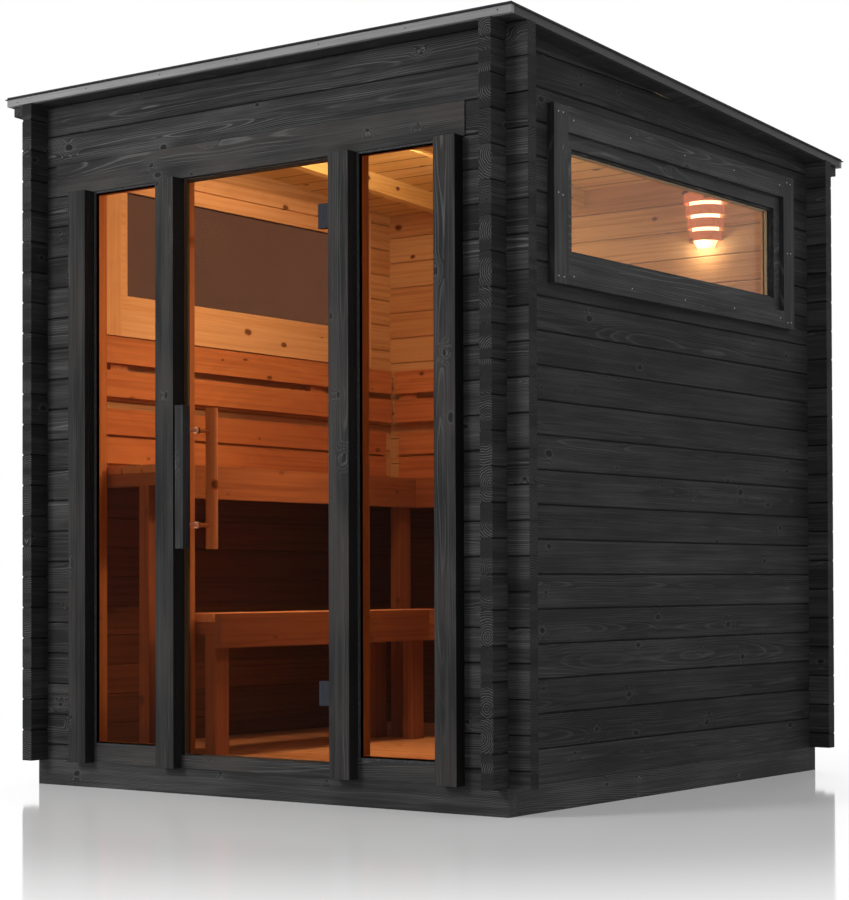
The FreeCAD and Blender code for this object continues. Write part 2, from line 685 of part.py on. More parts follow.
# Wall lamp: bent wooden bands one over another on the back wall, narrower towards the foot.
lamp_x = right_x - size("lamp_from_right")
lamp_y = back_y - thick
bands = []
for number in range(LAMP_BANDS):
    radius = size("lamp_radius") - (LAMP_BANDS - 1 - number) * size("lamp_taper")
    low = foot_z + size("lamp_low") + number * (size("lamp_band") + size("lamp_band_gap"))
    foot = FreeCAD.Vector(lamp_x, lamp_y, low)
    half_disc = Part.makeCylinder(radius, size("lamp_band"), foot, FreeCAD.Vector(0, 0, 1), 180)
    inner_disc = Part.makeCylinder(radius - size("lamp_wall"), size("lamp_band"), foot,
                                   FreeCAD.Vector(0, 0, 1), 180)
    band = half_disc.cut(inner_disc)
    band.rotate(foot, FreeCAD.Vector(0, 0, 1), 180)
    bands.append(shaped("lamp_band_%d" % number, band))
node("lamp_shade", group("lamp_shade", bands))

doc.recompute()
for thing in doc.Objects:
    if "Invalid" in thing.State or "Error" in thing.State:
        raise RuntimeError("%s did not build" % thing.Name)
for label, thing in nodes:
    if thing.Shape.isNull() or not thing.Shape.isValid():
        raise RuntimeError("%s has no valid shape" % label)

os.makedirs("parts", exist_ok=True)
for label, thing in nodes:
    thing.Shape.exportStep("parts/%s.step" % label)
print("nodes", len(nodes))
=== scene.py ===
import math

import bmesh
import bpy
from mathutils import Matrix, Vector


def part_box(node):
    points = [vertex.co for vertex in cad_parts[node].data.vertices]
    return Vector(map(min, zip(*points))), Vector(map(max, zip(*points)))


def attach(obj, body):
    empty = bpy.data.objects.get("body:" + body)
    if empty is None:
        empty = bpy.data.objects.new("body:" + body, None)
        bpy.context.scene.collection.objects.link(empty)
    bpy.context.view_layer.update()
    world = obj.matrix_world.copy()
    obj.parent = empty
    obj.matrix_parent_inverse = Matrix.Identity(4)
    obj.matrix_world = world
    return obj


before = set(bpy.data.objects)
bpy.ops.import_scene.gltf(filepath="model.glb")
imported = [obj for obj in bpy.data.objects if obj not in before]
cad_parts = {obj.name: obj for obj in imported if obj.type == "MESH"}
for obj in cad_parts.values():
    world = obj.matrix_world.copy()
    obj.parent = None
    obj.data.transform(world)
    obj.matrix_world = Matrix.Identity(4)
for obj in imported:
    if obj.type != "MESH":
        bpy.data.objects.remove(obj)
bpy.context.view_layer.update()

# Log walls: planed softwood logs laid up with tongues and grooves and lapped at the
# corners. Outside they are stained black, with growth rings, knots and ring-marked ends
# showing through the stain. Inside the room they are bare, reddish brown wood.


class Wire:
    """A value that varies over a surface. Plain arithmetic on it gives another such value."""

    def __init__(self, finish, socket):
        self.finish = finish
        self.socket = socket

    def maths(self, operation, *others):
        values = {0: self}
        for place, other in enumerate(others, start=1):
            values[place] = other
        return self.finish.node("ShaderNodeMath", {"operation": operation}, values)

    def __add__(self, other):
        return self.maths("ADD", other)

    __radd__ = __add__

    def __sub__(self, other):
        return self.maths("SUBTRACT", other)

    def __rsub__(self, other):
        return self.finish.node("ShaderNodeMath", {"operation": "SUBTRACT"}, {0: other, 1: self})

    def __mul__(self, other):
        return self.maths("MULTIPLY", other)

    __rmul__ = __mul__

    def __truediv__(self, other):
        return self.maths("DIVIDE", other)

    def __mod__(self, other):
        return self.maths("FLOORED_MODULO", other)

    def __pow__(self, other):
        return self.maths("POWER", other)

    def __abs__(self):
        return self.maths("ABSOLUTE")

    def floor(self):
        return self.maths("FLOOR")

    def lowest(self, other):
        return self.maths("MINIMUM", other)

    def highest(self, other):
        return self.maths("MAXIMUM", other)

    def rise(self, start, end, low=0.0, high=1.0):
        """A smooth step from low at start to high at end."""
        return self.finish.node("ShaderNodeMapRange", {"interpolation_type": "SMOOTHSTEP"},
                                {"Value": self, "From Min": start, "From Max": end,
                                 "To Min": low, "To Max": high})

    def output(self, name):
        """Another result of the same step."""
        return Wire(self.finish, self.socket.node.outputs[name])

    def parts(self):
        """The three numbers of a colour or a vector."""
        kind = "ShaderNodeSeparateColor" if self.socket.type == "RGBA" else "ShaderNodeSeparateXYZ"
        first = self.finish.node(kind, {}, {0: self})
        return [Wire(self.finish, out) for out in first.socket.node.outputs]


class Finish:
    """The look of a surface: its colour, shine and relief, worked out from place to place."""

    def __init__(self, name, **surface):
        self.material = bpy.data.materials.new(name)
        self.material.use_nodes = True
        self.tree = self.material.node_tree
        self.shader = self.tree.nodes["Principled BSDF"]
        for key, value in surface.items():
            self.set(key.replace("_", " ").title().replace("Ior", "IOR"), value)

    def node(self, kind, settings=None, sockets=None, output=0):
        """One step of the working out: its settings first, then its values or links."""
        made = self.tree.nodes.new(kind)
        for key, value in (settings or {}).items():
            setattr(made, key, value)
        for key, value in (sockets or {}).items():
            self.feed(made.inputs[key], value)
        return Wire(self, made.outputs[output])

    def feed(self, socket, value):
        if isinstance(value, Wire):
            self.tree.links.new(value.socket, socket)
        elif socket.type == "RGBA":
            socket.default_value = tuple(value) + (1.0,)
        else:
            socket.default_value = value

    def set(self, key, value):
        """Gives one property of the surface a number, a colour or a Wire."""
        self.feed(self.shader.inputs[key], value)

    def place(self):
        """Where a point lies on the cabin: across, into its depth and up."""
        found = self.node("ShaderNodeTexCoord", {}, {}, "Object")
        return found.parts()

    def vector(self, x, y, z):
        return self.node("ShaderNodeCombineXYZ", {}, {0: x, 1: y, 2: z})

    def blend(self, share, one, two):
        """The colour one where share is 0 and two where it is 1."""
        return self.node("ShaderNodeMix", {"data_type": "RGBA"}, {0: share, 6: one, 7: two}, 2)

    def darken(self, colour, share):
        """A colour times a number."""
        return self.blend(share, (0.0, 0.0, 0.0), colour)

    def noise(self, vector, scale, detail=2.0, rough=0.5):
        return self.node("ShaderNodeTexNoise", {},
                         {"Vector": vector, "Scale": scale, "Detail": detail, "Roughness": rough})

    def relief(self, height, depth):
        """Small height differences, in metres of depth."""
        bump = self.node("ShaderNodeBump", {}, {"Strength": 1.0, "Distance": depth, "Height": height})
        self.set("Normal", bump)


class Sawn:
    """Timber sawn from one log after another: growth rings round a wandering heart, fibres
    and knots. along runs with the grain, across over the boards and depth into them. ring is
    the spacing of the rings on the faces, END_RING the wider one that shows on the log ends."""

    END_RING = 0.0078
    WANDER = 0.09

    def __init__(self, finish, along, across, depth, board, first, seed, ring=0.0045):
        self.index = ((across - first) / board).floor()
        self.middle = across - first - (self.index + 0.5) * board
        chance = finish.node("ShaderNodeTexWhiteNoise", {"noise_dimensions": "1D"},
                             {"W": self.index * 1.37 + seed}, "Color")
        self.shade, self.lean, self.deep = chance.parts()
        run = along + self.shade * 17.0
        slow = finish.noise(finish.vector(run * 0.8, self.index * 3.7, seed), 1.0, 2.0).output("Color")
        sway, tilt, swell = slow.parts()
        spot = finish.vector(run * 4.2, self.middle * 7.0 + self.index * 9.3, seed)
        knots = finish.node("ShaderNodeTexVoronoi", {"voronoi_dimensions": "2D"},
                            {"Vector": spot, "Scale": 1.0})
        away = knots.output("Distance")
        girth = ((knots.output("Color").parts()[0] - 0.42) * 0.15).highest(0.0)
        edge = finish.noise(finish.vector(run * 45.0, across * 45.0, seed), 1.0, 3.0, 0.6) * 0.09
        away = away + edge - 0.045
        self.knot = 1.0 - away.rise(girth * 0.7, girth + 0.004)
        self.rim = (1.0 - away.rise(girth, girth * 1.35 + 0.01)) * girth.rise(0.0, 0.01)
        self.swirl = (1.0 - away.rise(girth, girth * 2.5 + 0.16)) * girth.rise(0.0, 0.02)
        heart_across = (self.lean - 0.5) * (board * 0.9) + (sway - 0.5) * self.WANDER
        heart_depth = (self.deep - 0.5) * self.WANDER + (tilt - 0.5) * 0.07
        side = self.middle - heart_across
        inward = depth - heart_depth
        heart = (side * side + inward * inward) ** 0.5
        fine = finish.noise(finish.vector(run * 6.0, across * 60.0, depth * 60.0), 1.0, 2.0)
        pushed = heart + self.swirl * self.swirl * 0.016 + fine * 0.0022
        turn = (pushed / ring + swell * 2.0) % 1.0
        wide_turn = ((pushed + (fine - 0.5) * 0.006) / self.END_RING + swell) % 1.0
        self.arc = wide_turn.rise(0.5, 0.78) * (1.0 - wide_turn.rise(0.82, 0.96))
        self.late = turn.rise(0.25, 0.9) * (1.0 - turn.rise(0.9, 1.0))
        self.line = turn.rise(0.62, 0.84) * (1.0 - turn.rise(0.86, 0.98))
        self.worn = finish.noise(finish.vector(run * 1.7, across * 16.0, seed + self.index), 1.0, 3.0)
        streak = finish.vector(run * 4.0, across * 260.0, depth * 260.0)
        self.fibre = finish.noise(streak, 1.0, 4.0, 0.65)
        self.band = finish.noise(finish.vector(run * 1.3, across * 75.0, depth * 75.0), 1.0, 3.0, 0.6)
        self.cloud = finish.noise(finish.vector(run * 2.3, across * 9.0, depth * 9.0), 1.0, 3.0)


BLACK_DEEP = (0.007, 0.0071, 0.0075)
BLACK_STAIN = (0.0205, 0.0207, 0.0211)
BLACK_GRAIN = (0.115, 0.1155, 0.1165)
BARE_DARK = (0.42, 0.22, 0.09)
BARE_WOOD = (0.7, 0.46, 0.25)
BARE_LIGHT = (0.8, 0.6, 0.37)
BARE_KNOT = (0.16, 0.06, 0.025)
# Bare wood colours for below the upper bench, darker as painted shade.
PAINTED_SHADE_WOOD = ((0.09, 0.03, 0.013), (0.19, 0.07, 0.028), (0.26, 0.105, 0.042))
BENCH_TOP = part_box("upper_bench_slats")[1][2]


def black_tone(finish, sawn, warm=None, painted_light_and_tone=1.0, rings=0.8):
    """The stain over the grain: thin lighter lines, darker clouds and nearly black knots.
    painted_light_and_tone scales it all, for painted light and shade and for tone.
    """
    lines = sawn.line * ((sawn.worn.rise(0.42, 0.6) * 0.7 + sawn.swirl * 0.5) * rings + 0.08)
    grain = lines + sawn.fibre.rise(0.4, 0.8) * 0.34 + (sawn.band - 0.46) * 0.75 + (sawn.cloud - 0.5) * 0.8
    tone = finish.blend(grain.highest(0.0).lowest(1.0), BLACK_STAIN, BLACK_GRAIN)
    if warm:
        tone = finish.blend(sawn.cloud.rise(0.35, 0.7) * 0.55, tone, warm)
    tone = finish.darken(tone, (0.66 + sawn.shade * 0.34) * painted_light_and_tone)
    tone = finish.blend(sawn.rim * 0.22, tone, BLACK_GRAIN)
    return finish.blend(sawn.knot * 0.85, tone, BLACK_DEEP)


def bare_tone(finish, sawn, dark=BARE_DARK, wood=BARE_WOOD, light=BARE_LIGHT):
    """Bare wood: pale early wood, redder late wood, boards of slightly different colour."""
    tone = finish.blend(sawn.shade.rise(0.0, 1.0), wood, light)
    grain = sawn.late * 0.16 + sawn.fibre.rise(0.45, 0.8) * 0.25 + sawn.band.rise(0.4, 0.7) * 0.48
    tone = finish.blend(grain, tone, dark)
    tone = finish.blend(sawn.rim * 0.55, tone, dark)
    return finish.blend(sawn.knot * 0.9, tone, BARE_KNOT)


LOG = 0.108
FOOT_OF_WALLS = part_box("back_wall")[0][2]
ROOM_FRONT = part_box("front_wall_left")[1][1] - 0.001
ROOM_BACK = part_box("back_wall")[0][1] + 0.001
LEFT_FACE, RIGHT_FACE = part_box("left_wall")[0][0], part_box("right_wall")[1][0]
WALL = 0.045
GROOVE = 0.0055
SHARP = 0.0004


def in_room(x, y, reach_x, reach_front, reach_back):
    """1 on faces that look into the room, 0 on those outside."""
    sides = 1.0 - abs(x).rise(reach_x, reach_x + SHARP)
    front = y.rise(reach_front - SHARP, reach_front)
    back = 1.0 - y.rise(reach_back, reach_back + SHARP)
    return sides * front * back


def log_finish(name, way, depth_centre, first, seed, painted_light_and_tone=1.1, rings=0.8):
    """Logs that run along x or y, black outside and bare in the room, where the wood below
    the upper bench is painted darker as shade."""
    finish = Finish(name, specular_ior_level=0.12)
    x, y, z = finish.place()
    along, depth = (x, y) if way == "x" else (y, x)
    sawn = Sawn(finish, along, z, depth - depth_centre, LOG, first, seed)
    normal = finish.node("ShaderNodeNewGeometry", {}, {}, "Normal").parts()
    end = abs(normal[0] if way == "x" else normal[1]).rise(0.6, 0.9)
    black = black_tone(finish, sawn, None, painted_light_and_tone, rings)
    arcs = sawn.arc * sawn.worn.rise(0.4, 0.58) * 0.75 + sawn.fibre.rise(0.5, 0.8) * 0.16
    sawn_end = finish.blend(arcs, (0.014, 0.0142, 0.0146), (0.13, 0.131, 0.133))
    # End faces of the logs along x, which face the sides, are painted darker as shade.
    black = finish.blend(end * 0.85, black, finish.darken(sawn_end, 0.45 if way == "x" else 1.15))
    inside = in_room(x, y, RIGHT_FACE - WALL + GROOVE, ROOM_FRONT - GROOVE, ROOM_BACK + GROOVE)
    # Below the upper bench the bare logs are painted darker as shade.
    below = 1.0 - z.rise(BENCH_TOP - 0.03, BENCH_TOP)
    bare = finish.blend(below, bare_tone(finish, sawn), bare_tone(finish, sawn, *PAINTED_SHADE_WOOD))
    tone = finish.blend(inside, black, bare)
    # Seams: painted shade in the grooves between the logs, near black outside and brown in the room.
    seam = abs(sawn.middle).rise(LOG / 2 - 0.0032, LOG / 2 - 0.0008)
    groove_shade_tone = finish.blend(inside, (0.005, 0.005, 0.005), (0.16, 0.075, 0.03))
    tone = finish.blend(seam * (0.9 - inside * 0.35) * (1.0 - end * 0.3), tone, groove_shade_tone)
    finish.set("Base Color", tone)
    finish.set("Roughness", 0.7 - sawn.late * 0.1 + sawn.knot * 0.1)
    finish.relief(sawn.late * 0.3 + sawn.fibre * 0.9 - sawn.knot * 0.5, 0.0008)
    return finish.material


def dress(node, material):
    """Gives a piece of the frame its finish."""
    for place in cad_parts[node].material_slots:
        place.material = material


front_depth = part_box("front_wall_left")[0][1] + WALL / 2
back_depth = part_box("back_wall")[0][1] + WALL / 2
half_course = FOOT_OF_WALLS - LOG / 2
for part, seed in (("left", 3.1), ("right", 8.2), ("top", 13.7)):
    dress("front_wall_" + part, log_finish("black_logs_front_" + part, "x", front_depth, half_course, seed))
dress("back_wall", log_finish("black_logs_back", "x", back_depth, half_course, 21.4, 1.1, 0.4))
# The side walls get a smaller factor than the front and back: painted shade on the sides.
for side, middle, seed in (("left", LEFT_FACE + WALL / 2, 34.9), ("right", RIGHT_FACE - WALL / 2, 47.3)):
    dress(side + "_wall", log_finish("black_logs_" + side, "y", middle, FOOT_OF_WALLS, seed, 0.8, 0.3))

# Base beams and floor joists: square timbers butted at the corners and standing straight on
# the ground. The beams are stained like the walls and the joists are left bare.


def board_finish(name, way, board, first, seed, stained=True, depth_centre=0.0, warm=None,
                 colours=(BARE_DARK, BARE_WOOD, BARE_LIGHT)):
    """One board or a row of boards, stained black or bare, with its grain along x, y or z."""
    finish = Finish(name, specular_ior_level=0.2)
    x, y, z = finish.place()
    along, across, depth = {"x": (x, z, y), "y": (y, z, x), "z": (z, x, y), "z_side": (z, y, x)}[way]
    sawn = Sawn(finish, along, across, depth - depth_centre, board, first, seed)
    tone = black_tone(finish, sawn, warm) if stained else bare_tone(finish, sawn, *colours)
    finish.set("Base Color", tone)
    finish.set("Roughness", 0.65 - sawn.late * 0.1 + sawn.fibre * 0.08)
    finish.relief(sawn.late * 0.5 + sawn.fibre * 0.7 - sawn.knot * 0.4, 0.0006)
    return finish.material


BEAM, BEAM_FROM = 0.16, -0.03
along_x = board_finish("black_beam_x", "x", BEAM, BEAM_FROM, 5.5, depth_centre=front_depth)
along_y = board_finish("black_beam_y", "y", BEAM, BEAM_FROM, 6.5, depth_centre=RIGHT_FACE - WALL / 2)
dress("base_front_beam", along_x)
dress("base_back_beam", along_x)
dress("base_left_beam", along_y)
dress("base_right_beam", along_y)
dress("floor_joists", board_finish("raw_joist", "y", BEAM, BEAM_FROM, 7.5, stained=False))

# Floor: bare softwood boards laid on the joists across the room, with dark joints between
# them, a little darker than the walls.

FLOOR_COLOURS = ((0.3, 0.13, 0.055), (0.5, 0.25, 0.115), (0.6, 0.33, 0.17))
FLOOR_BOARD = 0.095
floor = Finish("floor_boards")
x, y, z = floor.place()
sawn = Sawn(floor, x, y, z, FLOOR_BOARD, ROOM_FRONT, 9.5)
seam = abs(sawn.middle).rise(FLOOR_BOARD / 2 - 0.003, FLOOR_BOARD / 2 - 0.001)
floor.set("Base Color", floor.blend(seam, bare_tone(floor, sawn, *FLOOR_COLOURS), (0.02, 0.012, 0.006)))
floor.set("Roughness", 0.55 + sawn.fibre * 0.1)
floor.relief(sawn.late * 0.3 + sawn.fibre * 0.5 - seam * 4.0, 0.0008)
dress("floor", floor.material)

# Roof: a board deck, black where it hangs out over the walls and pale inside, with rafters
# under it, a grey fascia in front, side fascias painted a darker grey as shade, and a
# covering of dark felt.

DECK_BOARD = 0.12
DECK_COLOURS = ((0.62, 0.42, 0.16), (0.84, 0.66, 0.3), (0.9, 0.75, 0.4))
deck = Finish("deck_boards")
x, y, z = deck.place()
sawn = Sawn(deck, x, y, z * 0.3, DECK_BOARD, ROOM_FRONT, 15.5)
seam = abs(sawn.middle).rise(DECK_BOARD / 2 - 0.004, DECK_BOARD / 2 - 0.0015)
inside = in_room(x, y, RIGHT_FACE - 0.001, ROOM_FRONT - WALL / 2, ROOM_BACK + WALL / 2)
# Where the deck hangs out, its black is darkened by half: painted shade under the eaves.
tone = deck.blend(inside, black_tone(deck, sawn, None, 0.5), bare_tone(deck, sawn, *DECK_COLOURS))
deck.set("Base Color", deck.blend(seam, tone, (0.01, 0.008, 0.006)))
deck.set("Roughness", 0.6 + sawn.fibre * 0.1)
deck.relief(sawn.fibre * 0.6 - seam * 4.0, 0.0008)
dress("roof_deck", deck.material)
dress("rafters", board_finish("bare_rafter", "y", 0.2, 2.1, 17.5, stained=False, colours=DECK_COLOURS))


def fascia_finish(name, way, seed, dark, light):
    """Painted board with a faint grain under the paint."""
    finish = Finish(name, specular_ior_level=0.3)
    x, y, z = finish.place()
    along, depth = (x, y) if way == "x" else (y, x)
    sawn = Sawn(finish, along, z, depth, 0.5, 2.0, seed)
    tone = finish.blend(sawn.fibre.rise(0.3, 0.8) * 0.6 + sawn.cloud * 0.4, dark, light)
    finish.set("Base Color", tone)
    finish.set("Roughness", 0.5 + sawn.fibre * 0.1)
    finish.relief(sawn.fibre, 0.0004)
    return finish.material


dress("fascia_ends", fascia_finish("fascia_grey_x", "x", 18.5, (0.16, 0.16, 0.162), (0.3, 0.3, 0.302)))
# The side fascias take a much darker grey than the front one: painted shade.
dress("fascia_sides", fascia_finish("fascia_shaded_grey_y", "y", 19.5, (0.025, 0.025, 0.026),
                                    (0.065, 0.065, 0.066)))

felt = Finish("roof_felt", specular_ior_level=0.1)
x, y, z = felt.place()
SHEET_WIDTH, SHEETS_FROM = 0.56, 1.13
strip = ((y + SHEETS_FROM) / SHEET_WIDTH) % 1.0
lap = strip.rise(0.0, 0.012) * (1.0 - strip.rise(0.985, 1.0))
grit = felt.noise(felt.vector(x, y, z), 420.0, 2.0, 0.7)
weather = felt.noise(felt.vector(x, y * 0.6, z), 3.0, 4.0)
tone = felt.blend(grit.rise(0.35, 0.7), (0.014, 0.014, 0.015), (0.075, 0.075, 0.078))
tone = felt.blend(weather.rise(0.4, 0.7) * 0.4, tone, (0.085, 0.082, 0.078))
felt.set("Base Color", felt.darken(tone, 0.25 + lap * 0.75))
felt.set("Roughness", 0.78 + grit * 0.15)
felt.relief(grit * 0.6 + lap * 2.0, 0.001)
dress("roof_covering", felt.material)

# Glazed front: four posts under a header board. They are stained outside, a little
# browner than the logs, and bare reddish wood behind the line of the glass.

WARM_STAIN = (0.052, 0.045, 0.041)
GLASS_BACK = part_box("door_glass")[1][1]
JAMB_COLOURS = ((0.36, 0.13, 0.055), (0.62, 0.27, 0.12), (0.7, 0.34, 0.17))


def post_finish(name, node, seed):
    """A post with upright grain, black in front of the glass and bare behind it, with its sides
    painted nearly black as shade. The left jamb shows the joint between its two halves."""
    low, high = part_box(node)
    finish = Finish(name, specular_ior_level=0.14)
    x, y, z = finish.place()
    wide = high[0] - low[0] + 0.002
    sawn = Sawn(finish, z, x, y - low[1], wide, low[0] - 0.001, seed, 0.005)
    inside = y.rise(GLASS_BACK - 0.001, GLASS_BACK + 0.001)
    black = black_tone(finish, sawn, WARM_STAIN, 0.92)
    # Faces that look along x are painted nearly black: painted shade on the posts' sides.
    facing = finish.node("ShaderNodeNewGeometry", {}, {}, "Normal").parts()
    black = finish.blend(abs(facing[0]).rise(0.5, 0.9) * 0.8, black, BLACK_DEEP)
    if node == "left_jamb":
        glued = 1.0 - abs(x - (low[0] + high[0]) / 2).rise(0.0006, 0.0016)
        black = finish.blend(glued * 0.8, black, BLACK_DEEP)
    tone = finish.blend(inside, black, bare_tone(finish, sawn, *JAMB_COLOURS))
    finish.set("Base Color", tone)
    finish.set("Roughness", 0.6 - sawn.late * 0.12 + sawn.fibre * 0.08)
    finish.relief(sawn.late * 0.5 + sawn.fibre * 0.8 - sawn.knot * 0.4, 0.0007)
    return finish.material


for number, node in enumerate(("left_jamb", "left_mullion", "right_mullion", "right_jamb")):
    dress(node, post_finish("post_%d" % (number + 1), node, 23.0 + number * 2.3))
dress("header_board", board_finish("header_black", "x", 0.13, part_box("header_board")[0][2] - 0.011, 31.5,
                                   depth_centre=front_depth, warm=WARM_STAIN))
rail_first = FOOT_OF_WALLS - 0.01
for node, name, seed in (("side_light_rails", "rail_black", 32.5), ("door_sill", "sill_black", 33.5)):
    dress(node, board_finish(name, "x", 0.09, rail_first, seed, depth_centre=front_depth, warm=WARM_STAIN))

# Glass of the front: sheets of bronze-tinted toughened glass in the door and the two side
# lights, clear but for a faint film of dust.


def pane_finish(name, tint, haze, bend):
    """Clear tinted glass with a faint film of dust on it. bend is its refraction index."""
    finish = Finish(name)
    x, y, z = finish.place()
    film = finish.noise(finish.vector(x, y, z), 3.0, 3.0)
    finish.set("Base Color", finish.blend(film.rise(0.4, 0.7) * haze, tint, (1.0, 0.97, 0.93)))
    finish.set("Roughness", film * 0.002)
    finish.set("Transmission Weight", 1.0)
    finish.set("IOR", bend)
    return finish.material


front_glass = pane_finish("bronze_glass", (0.66, 0.47, 0.32), 0.02, 1.08)
for node in ("door_glass", "left_side_light_glass", "right_side_light_glass"):
    dress(node, front_glass)

# Side windows: a frame with casing boards outside, both stained black, two sheets of glass
# and a bare wooden lining inside. The right window's glass is clear, the left one's bronze.

window_glass = {"right": pane_finish("window_glass_right", (1.0, 0.97, 0.88), 0.04, 1.13),
                "left": pane_finish("window_glass_left", (0.41, 0.3, 0.257), 0.02, 1.08)}
LINING_COLOURS = ((0.62, 0.37, 0.18), (0.8, 0.53, 0.29), (0.86, 0.62, 0.38))
LINING_END = 0.08
FRAME_STAINED = 0.03
for side, sign in (("right", 1), ("left", -1)):
    node = side + "_window"
    low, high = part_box(node + "_casing_stiles")
    face = sign * (RIGHT_FACE + 0.01)
    dress(node + "_glass", window_glass[side])
    dress(node + "_casing_boards", board_finish(side + "_casing_black_y", "y", 0.4, low[2] - 0.03,
                                                36.5 + sign, depth_centre=face))
    dress(node + "_casing_stiles", board_finish(side + "_casing_black_z", "z_side", 0.3, low[1] - 0.05,
                                                38.5 + sign, depth_centre=face))
    frame_black = Finish(side + "_window_frame", specular_ior_level=0.2)
    x, y, z = frame_black.place()
    sawn = Sawn(frame_black, y, z, x, 0.6, low[2], 39.5)
    frame_end = RIGHT_FACE - FRAME_STAINED
    frame_inside = 1.0 - abs(x).rise(frame_end - 0.001, frame_end + 0.001)
    tone = frame_black.blend(frame_inside, black_tone(frame_black, sawn),
                             bare_tone(frame_black, sawn, *LINING_COLOURS))
    frame_black.set("Base Color", tone)
    frame_black.set("Roughness", 0.55 + sawn.fibre * 0.1)
    frame_black.relief(sawn.fibre, 0.0005)
    dress(node + "_frame", frame_black.material)
    low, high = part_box(node + "_lining")
    lining = Finish(side + "_lining")
    x, y, z = lining.place()
    from_end, to_end = low[1] + LINING_END, high[1] - LINING_END
    between = y.rise(from_end, from_end + SHARP) * (1.0 - y.rise(to_end - SHARP, to_end))
    upright = 1.0 - between
    lying = Sawn(lining, y, z, x, 0.7, low[2] - 0.05, 41.5)
    standing = Sawn(lining, z, y, x, 0.7, low[1] - 0.05, 43.5)
    lining.set("Base Color", lining.blend(upright, bare_tone(lining, lying, *LINING_COLOURS),
                                          bare_tone(lining, standing, *LINING_COLOURS)))
    lining.set("Roughness", 0.5 + lying.fibre * 0.1)
    lining.relief(lying.fibre, 0.0004)
    dress(node + "_lining", lining.material)

# Benches and backrests: smooth bare boards along the left and the back wall, each with its
# grain along its length. The front boards and the legs are painted darker as shade, and the
# lower bench's slats paler as painted light from above.

BENCH_COLOURS = ((0.36, 0.13, 0.05), (0.6, 0.255, 0.105), (0.7, 0.34, 0.155))
LIT_SEAT_COLOURS = ((0.5, 0.2, 0.08), (0.76, 0.37, 0.17), (0.84, 0.46, 0.24))
SHADED_FRONT_COLOURS = ((0.18, 0.057, 0.023), (0.3, 0.112, 0.047), (0.35, 0.145, 0.062))
SHADED_LEG_COLOURS = ((0.18, 0.06, 0.025), (0.32, 0.12, 0.05), (0.38, 0.155, 0.07))


def two_way_finish(name, corner, board, firsts, seed, colours=BENCH_COLOURS, on_edge=False):
    """Boards, flat or on edge, that run along y up to the corner and along x beyond it."""
    finish = Finish(name)
    x, y, z = finish.place()
    left_way, back_way = ((y, z, x), (x, z, y)) if on_edge else ((y, x, z), (x, y, z))
    left = Sawn(finish, *left_way, board, firsts[0], seed)
    back = Sawn(finish, *back_way, board, firsts[1], seed + 4.4)
    turned = x.rise(corner - 0.0003, corner + 0.0003)
    finish.set("Base Color", finish.blend(turned, bare_tone(finish, left, *colours),
                                          bare_tone(finish, back, *colours)))
    finish.set("Roughness", 0.5 + left.fibre * 0.1 - left.late * 0.08)
    finish.relief(left.fibre, 0.0004)
    return finish.material


SLAT_PITCH, FRONT_BOARD, REST_PITCH = 0.0984, 0.14, 0.109
for level, seed in (("upper", 51.0), ("lower", 57.0)):
    slats = level + "_bench_slats"
    front = level + "_bench_front"
    low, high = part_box(front)
    dress(slats, two_way_finish(level + "_slats", low[0] + 0.028, SLAT_PITCH, low[:2], seed,
                                LIT_SEAT_COLOURS if level == "lower" else BENCH_COLOURS))
    dress(front, two_way_finish(level + "_front", low[0] + 0.0285, FRONT_BOARD, (low[2] - 0.012,) * 2,
                                seed + 1.5, SHADED_FRONT_COLOURS, on_edge=True))
    dress(level + "_bench_bearers", board_finish(level + "_bearers", "x", 0.09, 0.01, seed + 2.5,
                                                 stained=False, colours=SHADED_LEG_COLOURS))
    dress(level + "_bench_legs", board_finish(level + "_legs", "z", 0.3, 0.05, seed + 3.5,
                                              stained=False, colours=SHADED_LEG_COLOURS))
low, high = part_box("backrest_boards")
dress("backrest_boards", two_way_finish("backrest_boards", low[0] + 0.0525, REST_PITCH,
                                        (low[2] - 0.005,) * 2, 61.0, on_edge=True))
dress("backrest_battens", board_finish("battens", "z_side", 0.3, -2.0, 65.0, stained=False,
                                       colours=JAMB_COLOURS))

# Wall lamp: thin bent wood bands round a milky glass body with the light in it, closed at the
# back where it meets the wall. The bands glow faintly too: painted light.

bands = Finish("lamp_bands_painted_glow", roughness=0.6)
x, y, z = bands.place()
sawn = Sawn(bands, x, z, y, 0.05, 2.028, 67.0)
tone = bare_tone(bands, sawn, (0.42, 0.1, 0.05), (0.6, 0.19, 0.095), (0.68, 0.25, 0.13))
bands.set("Base Color", tone)
# The wood bands glow at half their own colour: painted light from the lamp.
bands.set("Emission Color", bands.darken(tone, 0.5))
bands.set("Emission Strength", 1.0)
bands.relief(sawn.fibre, 0.0004)
dress("lamp_shade", bands.material)
lamp_low, lamp_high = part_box("lamp_shade")
lamp_middle = (lamp_low[0] + lamp_high[0]) / 2
BODY_FOOT, BODY_HEAD, BODY_END = 0.05, 0.068, 0.7
BODY_BELOW, BODY_EDGE, BODY_SIDES = 0.024, 0.004, 32


def finished(name, shape, material, body="cabin"):
    """Turns a worked shape into a piece that moves with one body."""
    mesh = bpy.data.meshes.new(name)
    shape.to_mesh(mesh)
    shape.free()
    mesh.materials.append(material)
    piece = bpy.data.objects.new(name, mesh)
    bpy.context.collection.objects.link(piece)
    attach(piece, body)
    return piece


